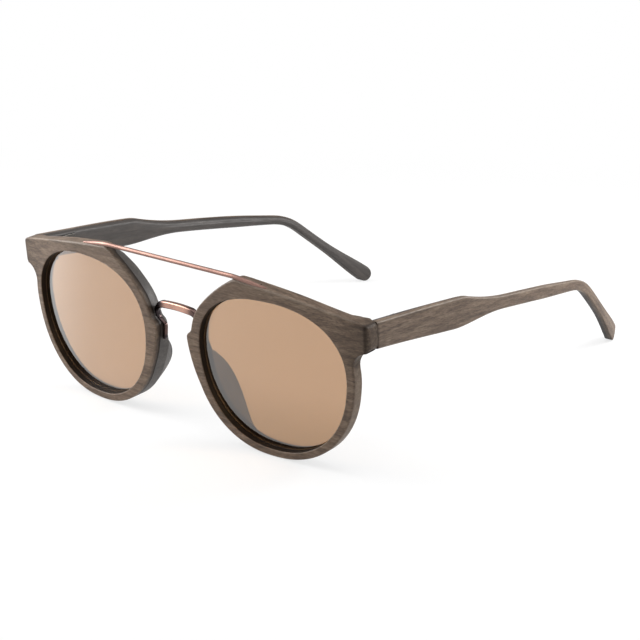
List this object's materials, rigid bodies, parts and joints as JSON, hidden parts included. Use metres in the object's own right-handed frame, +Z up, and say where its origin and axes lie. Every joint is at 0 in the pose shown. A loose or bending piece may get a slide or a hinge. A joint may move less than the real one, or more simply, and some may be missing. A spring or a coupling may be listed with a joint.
{
  "type": "sunglasses",
  "caption": "Wooden sunglasses with laminated rims and folding laminated temples, a copper brow bar over a low metal bridge, and brown tinted lenses",
  "frame": {"origin": "on the table plane, midway between the lenses, at the foremost point of the front's curve", "axes": "+X to the wearer's left, +Y back along the temples, +Z up from the table the glasses stand on"},
  "size_m": [0.135, 0.1554, 0.0513],
  "materials": {
    "walnut": "open-grain brown-grey veneer, satin oil",
    "ebony": "black-stained wood core, satin",
    "brown_lens": "brown-tinted, polished",
    "copper": "polished rose-copper plating",
    "steel": "tumbled stainless"
  },
  "bodies": {
    "front": {"left_rim_front": "walnut", "right_rim_front": "walnut", "left_rim_back": "ebony", "right_rim_back": "ebony", "left_lens": "brown_lens", "right_lens": "brown_lens", "left_nose_pad": "ebony", "right_nose_pad": "ebony", "brow_bar": "copper", "brow_bar_studs": "steel", "bridge": "copper", "bridge_pins": "steel", "left_front_hinge_leaf": "steel", "right_front_hinge_leaf": "steel", "left_hinge_screw": "steel", "right_hinge_screw": "steel", "left_front_leaf_screws": "steel", "right_front_leaf_screws": "steel"},
    "left_arm": {"left_temple_hinge_leaf": "steel", "left_temple_leaf_screws": "steel", "left_temple": "walnut", "left_temple_lining": "ebony", "left_temple_core": "steel"},
    "right_arm": {"right_temple_hinge_leaf": "steel", "right_temple_leaf_screws": "steel", "right_temple": "walnut", "right_temple_lining": "ebony", "right_temple_core": "steel"}
  },
  "joints": [
    {"name": "left_hinge", "type": "hinge", "parent": "front", "child": "left_arm", "pos_m": [0.0624, 0.00775, 0.04076], "axis": [0, 0, 1], "range_deg": [0, 85]},
    {"name": "right_hinge", "type": "hinge", "parent": "front", "child": "right_arm", "pos_m": [-0.0624, 0.00775, 0.04076], "axis": [0, 0, -1], "range_deg": [0, 76]}
  ]
}
